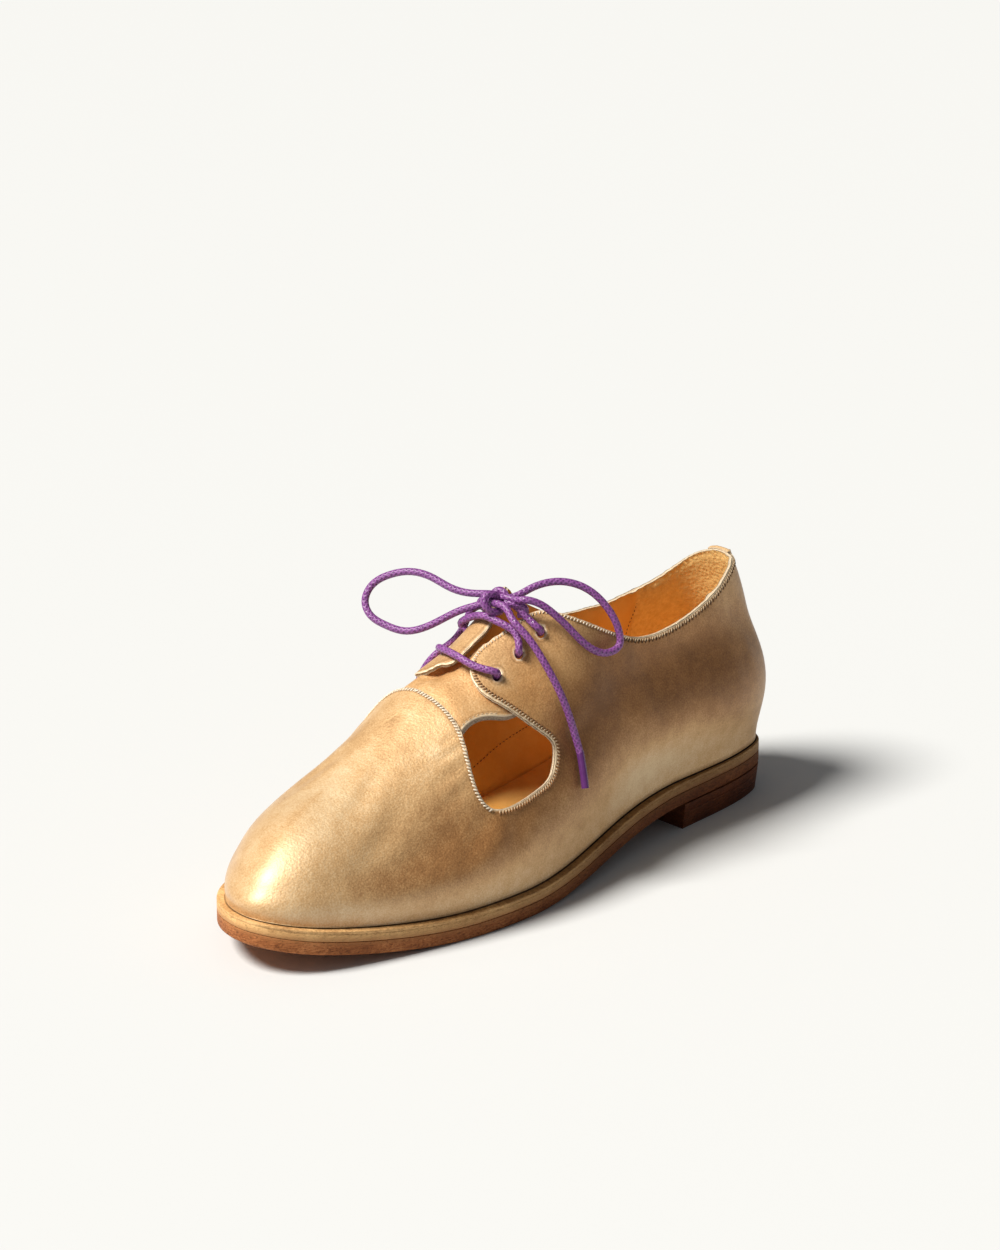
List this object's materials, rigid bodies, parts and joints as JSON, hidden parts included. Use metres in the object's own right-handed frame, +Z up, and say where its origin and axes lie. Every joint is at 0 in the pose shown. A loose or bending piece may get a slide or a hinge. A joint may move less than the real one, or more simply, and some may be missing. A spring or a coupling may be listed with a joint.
{
  "type": "derby shoe",
  "caption": "Low leather derby shoe for the left foot with open sides, a short tongue, punched lace holes tied with a round cord in a bow, layered leather sole and low stacked heel",
  "frame": {"origin": "on the floor under the middle of the shoe's box, measured without the free lace", "axes": "+Z up; the toe points along -Y and the heel along +Y; +X is the outer side of the left foot"},
  "size_m": [0.0965, 0.2672, 0.1115],
  "materials": {
    "upper_leather": "pearly satin, mottled",
    "tongue_leather": "satin",
    "lining_leather": "matt",
    "welt_leather": "burnished edge",
    "sole_leather": "burnished edge",
    "heel_leather": "stacked, burnished",
    "lace_cord": "waxed braid",
    "lace_tip": "gloss"
  },
  "bodies": {
    "root": {"heel": "heel_leather", "outsole": "sole_leather", "midsole": "welt_leather", "insole": "lining_leather", "upper": "upper_leather", "tongue": "tongue_leather", "lace_bar_lower": "lace_cord", "lace_bar_middle": "lace_cord", "lace_knot": "lace_cord", "lace_top_near": "lace_cord", "lace_top_far": "lace_cord", "lace_loop_near": "lace_cord", "lace_loop_far": "lace_cord", "lace_end_near": "lace_cord", "lace_end_far": "lace_cord", "lace_tip_near": "lace_tip", "lace_tip_far": "lace_tip"}
  },
  "joints": []
}
